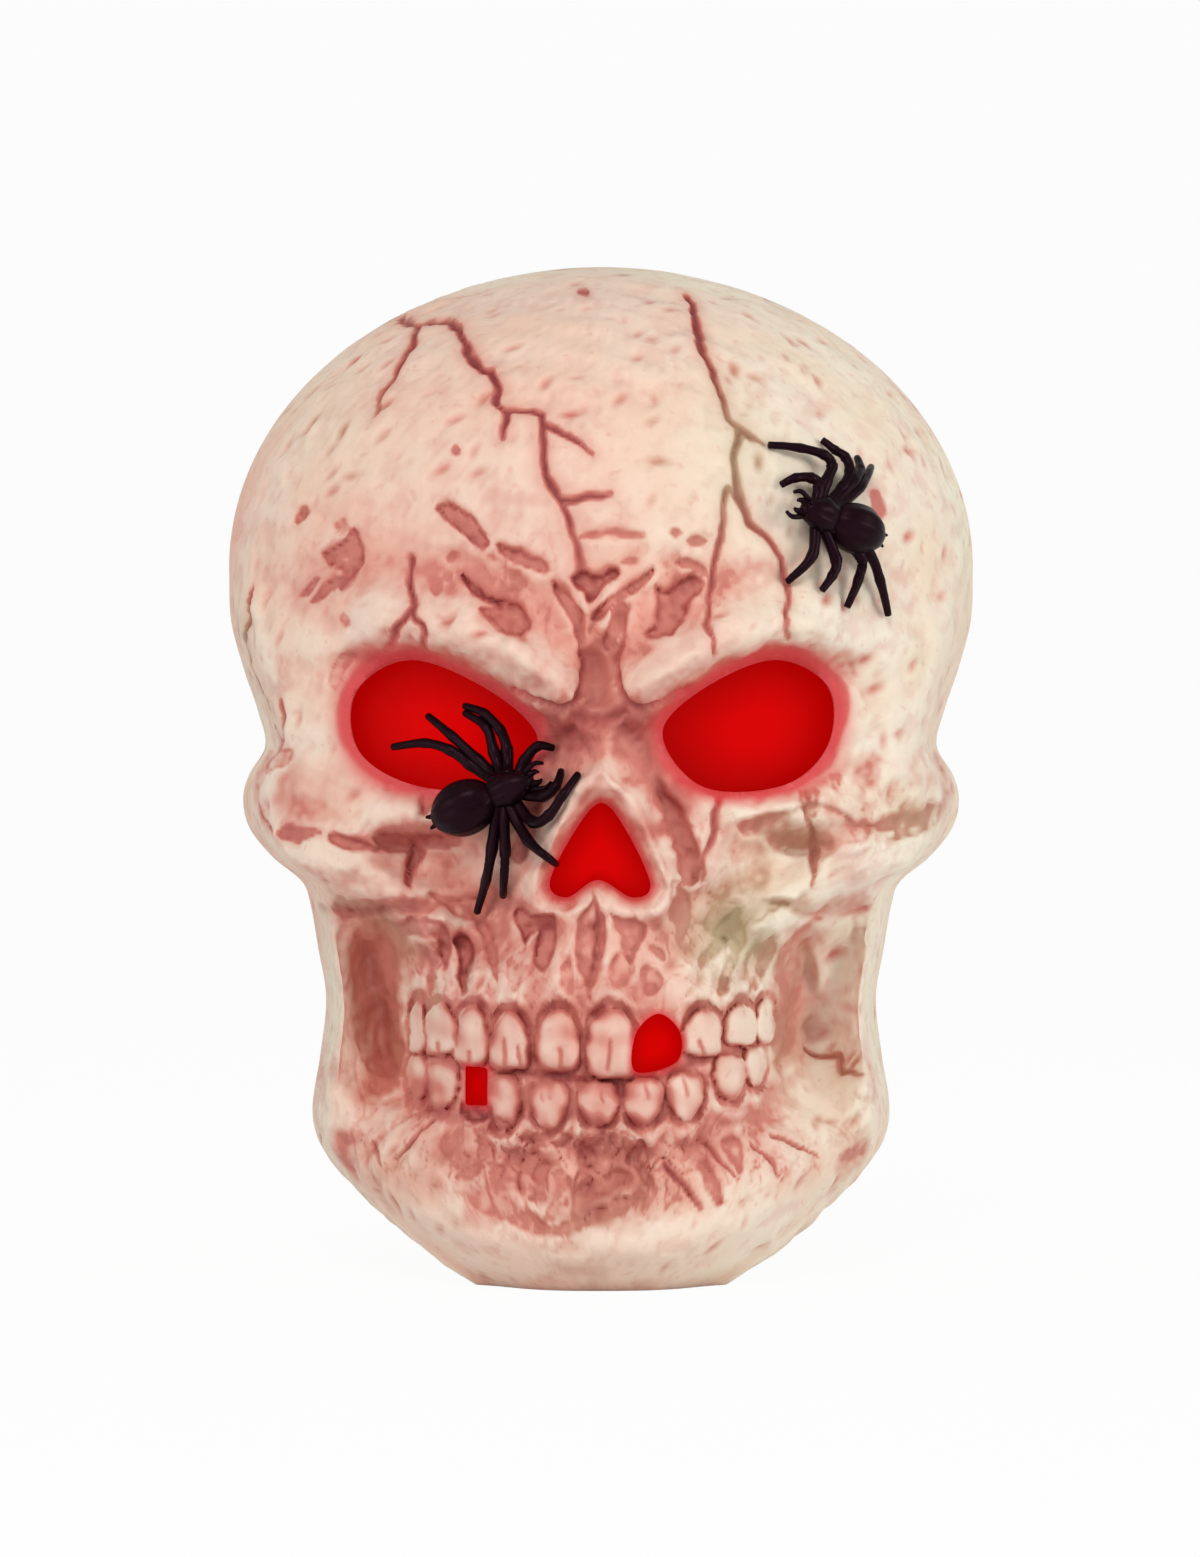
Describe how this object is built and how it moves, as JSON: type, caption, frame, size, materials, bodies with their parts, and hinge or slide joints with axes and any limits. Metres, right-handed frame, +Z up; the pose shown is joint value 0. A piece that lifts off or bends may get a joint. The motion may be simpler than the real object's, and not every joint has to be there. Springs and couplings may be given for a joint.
{
  "type": "light-up skull decoration",
  "caption": "Life-size hollow plastic skull lamp with a moulded jaw, red glowing eyes, nose and tooth gaps, clip-on spiders and a battery base.",
  "frame": {"origin": "middle of the overall box on the surface that the skull stands on", "axes": "+Z up, the face looks along -Y, +X is the viewer's right; the halves meet in the plane Y = 0"},
  "size_m": [0.154, 0.1839, 0.205],
  "materials": {
    "bone": "satin translucent ivory with a red-brown wash",
    "base": "fine grain",
    "red_window": "translucent red, lit from behind",
    "spider": "satin black",
    "steel": "plain",
    "cell": null,
    "board": "solder mask",
    "led": "clear red",
    "red_lead": "plain",
    "black_lead": "plain"
  },
  "bodies": {
    "skull": {"face_shell": "bone", "back_shell": "bone", "eye_window_right": "red_window", "eye_window_left": "red_window", "nose_window": "red_window", "upper_gap_window": "red_window", "lower_gap_window": "red_window", "cheek_spider": "spider", "forehead_spider": "spider", "cheek_spider_nut": "steel", "forehead_spider_nut": "steel", "shell_screw_1": "steel", "shell_screw_2": "steel", "shell_screw_3": "steel", "shell_screw_4": "steel", "base_plate": "base", "base_screw_1": "steel", "base_screw_2": "steel", "base_screw_3": "steel", "base_screw_4": "steel", "battery_left": "cell", "battery_right": "cell", "battery_spring_left": "steel", "battery_spring_right": "steel", "contact_bridge": "steel", "contact_left": "steel", "contact_right": "steel", "switch_body": "base", "lamp_post": "base", "lamp_board": "board", "board_screw_1": "steel", "board_screw_2": "steel", "led_left": "led", "led_middle": "led", "led_right": "led", "resistor": "black_lead", "lead_cell_to_switch": "red_lead", "lead_switch_to_board": "red_lead", "lead_return": "black_lead"},
    "door": {"battery_door": "base", "battery_door_screw": "steel"},
    "slider": {"switch_slider": "spider"}
  },
  "joints": [
    {"name": "door_hinge", "type": "hinge", "parent": "skull", "child": "door", "pos_m": [0, -0.0467, 0.0012], "axis": [-1, 0, 0], "range_deg": [0, 95]},
    {"name": "switch_slide", "type": "slide", "parent": "skull", "child": "slider", "axis": [1, 0, 0], "range_m": [0, 0.004]}
  ]
}
